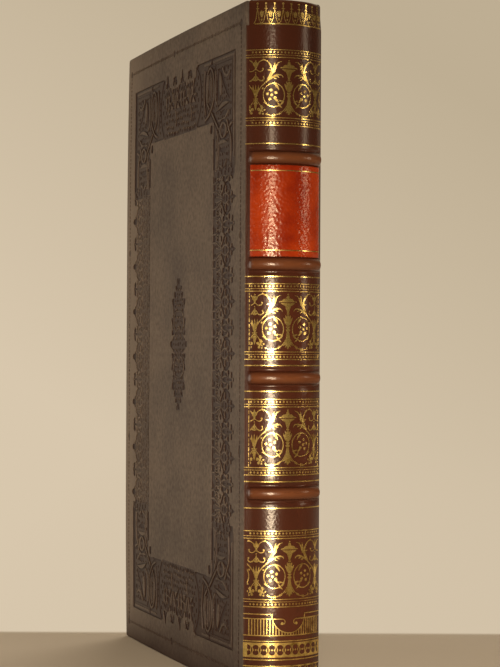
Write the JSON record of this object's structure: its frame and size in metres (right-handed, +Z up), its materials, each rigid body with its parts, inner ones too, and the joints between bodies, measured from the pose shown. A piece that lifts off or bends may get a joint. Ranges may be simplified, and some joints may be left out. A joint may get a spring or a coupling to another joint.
{
  "type": "antique leather book",
  "caption": "Upright book in full brown leather with raised bands, a gilt spine, a bare red label and blind tooled covers that open on their joints.",
  "frame": {"origin": "middle of the book's box, on the surface that its tail edges stand on", "axes": "+Z up, from tail to head; +Y from the spine to the fore-edge; +X from the rear cover to the front cover"},
  "size_m": [0.0294, 0.1608, 0.25],
  "materials": {
    "page_edges": "matte",
    "endpaper": "matte",
    "cloth": "matte",
    "card": "matte",
    "endband_silk": "satin",
    "spine_leather": "glossy",
    "label_leather": "glossy",
    "millboard": "matte",
    "cover_leather": "satin",
    "gold_leaf": "glossy"
  },
  "bodies": {
    "book": {"text_block": "page_edges", "front_flyleaf": "endpaper", "rear_flyleaf": "endpaper", "spine_cloth": "cloth", "spine_hollow": "card", "head_endband": "endband_silk", "tail_endband": "endband_silk", "band_core_1": "millboard", "band_core_2": "millboard", "band_core_3": "millboard", "band_core_4": "millboard", "spine_leather": "spine_leather", "title_label": "label_leather", "gilt_fillets": "gold_leaf", "gilt_head_roll": "gold_leaf", "gilt_panel_1": "gold_leaf", "gilt_panel_2": "gold_leaf", "gilt_panel_3": "gold_leaf", "gilt_panel_4": "gold_leaf", "gilt_tail_rolls": "gold_leaf"},
    "front_cover": {"front_board": "millboard", "front_leather": "cover_leather", "front_pastedown": "endpaper"},
    "rear_cover": {"rear_board": "millboard", "rear_leather": "cover_leather", "rear_pastedown": "endpaper"}
  },
  "joints": [
    {"name": "front_cover_hinge", "type": "hinge", "parent": "book", "child": "front_cover", "pos_m": [0.0147, -0.07255, 0.125], "axis": [0, 0, -1], "range_deg": [0, 120]},
    {"name": "rear_cover_hinge", "type": "hinge", "parent": "book", "child": "rear_cover", "pos_m": [-0.0147, -0.07255, 0.125], "axis": [0, 0, 1], "range_deg": [0, 120]}
  ]
}
